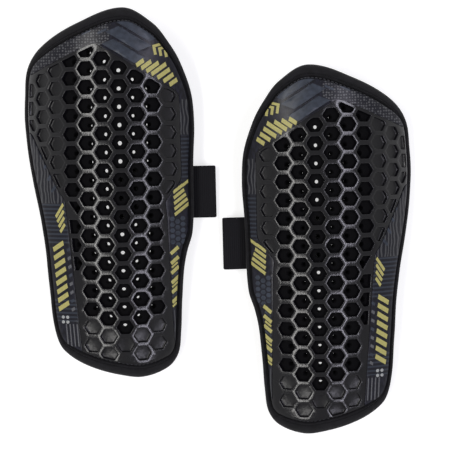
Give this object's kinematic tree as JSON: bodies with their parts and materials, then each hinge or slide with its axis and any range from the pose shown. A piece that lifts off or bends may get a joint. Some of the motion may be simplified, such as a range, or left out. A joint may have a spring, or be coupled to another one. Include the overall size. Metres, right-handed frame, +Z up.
{
  "type": "pair of shin guards",
  "caption": "Pair of curved shin guards with a honeycomb plastic shell, printed panels, padded rim, foam backing and an elastic calf strap.",
  "frame": {"origin": "bottom centre of the bounding box of the pair as it lies on a flat surface", "axes": "+X from the left guard to the right guard, +Y towards the knee ends, +Z up, away from the shins"},
  "size_m": [0.2254, 0.2446, 0.033],
  "materials": {
    "black_shell": "satin injection-moulded black plastic",
    "printed_film": "glossy printed film in dark grey-blue with gold and grey shapes",
    "black_foam": "black closed-cell EVA foam, perforated under the open cells",
    "lining_fabric": "brushed black lining",
    "rim_fabric": "smooth black knit over a padded roll",
    "stitch_thread": "black sewing thread",
    "strap_elastic": "woven black elastic",
    "hook_tape": "black nylon hook tape",
    "loop_tape": "black brushed loop tape"
  },
  "bodies": {
    "left_guard": {"left_honeycomb_shell": "black_shell", "left_knee_print_panel": "printed_film", "left_outer_print_panel": "printed_film", "left_foam_backing": "black_foam", "left_lining": "lining_fabric", "left_padded_rim": "rim_fabric", "left_rim_stitching": "stitch_thread", "left_strap_sewn_end": "strap_elastic", "left_loop_patch": "loop_tape"},
    "left_strap": {"left_strap_middle": "strap_elastic"},
    "left_strap_tip": {"left_strap_end": "strap_elastic", "left_hook_patch": "hook_tape"},
    "right_guard": {"right_honeycomb_shell": "black_shell", "right_knee_print_panel": "printed_film", "right_outer_print_panel": "printed_film", "right_foam_backing": "black_foam", "right_lining": "lining_fabric", "right_padded_rim": "rim_fabric", "right_rim_stitching": "stitch_thread", "right_strap_sewn_end": "strap_elastic", "right_loop_patch": "loop_tape"},
    "right_strap": {"right_strap_middle": "strap_elastic"},
    "right_strap_tip": {"right_strap_end": "strap_elastic", "right_hook_patch": "hook_tape"}
  },
  "joints": [
    {"name": "left_strap_opens", "type": "hinge", "parent": "left_guard", "child": "left_strap", "pos_m": [-0.00293, 0.01792, 0.00239], "axis": [0.0226, -0.9969, -0.0749], "range_deg": [0, 90]},
    {"name": "left_strap_end_peels", "type": "hinge", "parent": "left_strap", "child": "left_strap_tip", "pos_m": [-0.05712, 0.01679, 0.00098], "axis": [-0.0226, 0.9969, 0.0749], "range_deg": [0, 165]},
    {"name": "right_strap_opens", "type": "hinge", "parent": "right_guard", "child": "right_strap", "pos_m": [0.00488, -0.01232, 0.00307], "axis": [-0.0261, 0.9969, 0.0749], "range_deg": [0, 90]},
    {"name": "right_strap_end_peels", "type": "hinge", "parent": "right_strap", "child": "right_strap_tip", "pos_m": [0.05928, -0.01079, 0.00165], "axis": [0.0261, -0.9969, -0.0749], "range_deg": [0, 165]},
    {"name": "right_guard_lifts", "type": "slide", "parent": "left_guard", "child": "right_guard", "axis": [0, 0, 1], "range_m": [0, 0.12]}
  ]
}
